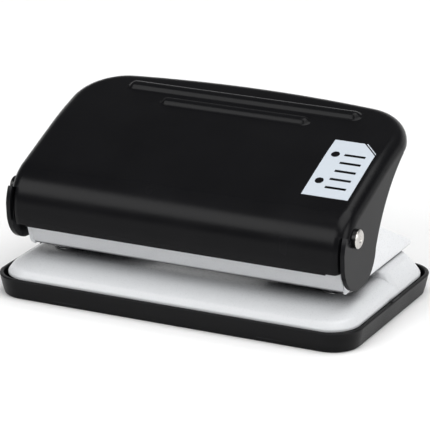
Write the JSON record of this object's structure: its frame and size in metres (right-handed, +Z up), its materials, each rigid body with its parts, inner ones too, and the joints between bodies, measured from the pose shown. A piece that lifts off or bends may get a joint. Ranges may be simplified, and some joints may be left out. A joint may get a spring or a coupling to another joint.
{
  "type": "hole_punch",
  "caption": "A desk hole punch with a wide black painted steel handle hinged on a white painted steel frame, over a pressed base plate and a black chip tray",
  "frame": {"origin": "centre of the chip tray's underside", "axes": "+X along the length, to the right seen from the paper slot; +Y to the rear, away from the slot; +Z up"},
  "size_m": [0.1068, 0.0602, 0.0506],
  "materials": {
    "tray_plastic": "satin",
    "white_paint": "gloss",
    "black_paint": "satin",
    "bare_steel": "satin",
    "dark_steel": "satin",
    "nylon": "matte"
  },
  "bodies": {
    "tray": {"chip_tray": "tray_plastic"},
    "base": {"base_plate": "white_paint", "die_left": "bare_steel", "die_right": "bare_steel", "frame": "white_paint", "frame_rivets": "bare_steel", "guide_left": "bare_steel", "guide_right": "bare_steel", "pivot_washer_left": "nylon", "pivot_washer_right": "nylon", "spring_left": "bare_steel", "spring_right": "bare_steel"},
    "lever": {"handle": "black_paint", "press_bar": "bare_steel", "pivot_shaft": "bare_steel", "shaft_clip_left": "dark_steel", "shaft_clip_right": "dark_steel"},
    "punch_unit_left": {"punch_left": "bare_steel", "punch_clip_left": "dark_steel", "spring_washer_left": "bare_steel"},
    "punch_unit_right": {"punch_right": "bare_steel", "punch_clip_right": "dark_steel", "spring_washer_right": "bare_steel"}
  },
  "joints": [
    {"name": "tray_pull", "type": "slide", "parent": "tray", "child": "base", "axis": [0, 0, 1], "range_m": [0, 0.015]},
    {"name": "handle_hinge", "type": "hinge", "parent": "base", "child": "lever", "pos_m": [0, -0.0191, 0.0287], "axis": [-1, 0, 0], "range_deg": [0, 24], "stiffness_Nm_per_rad": 0.2, "springref_deg": -25.21},
    {"name": "punch_left_slide", "type": "slide", "parent": "base", "child": "punch_unit_left", "axis": [0, 0, -1], "range_m": [0, 0.005], "deforming": ["spring_left"]},
    {"name": "punch_right_slide", "type": "slide", "parent": "base", "child": "punch_unit_right", "axis": [0, 0, -1], "range_m": [0, 0.005], "deforming": ["spring_right"]}
  ],
  "couplings": [
    {"joint": "punch_left_slide", "follows": "handle_hinge", "m_per_rad": 0.011579},
    {"joint": "punch_right_slide", "follows": "handle_hinge", "m_per_rad": 0.011579}
  ]
}
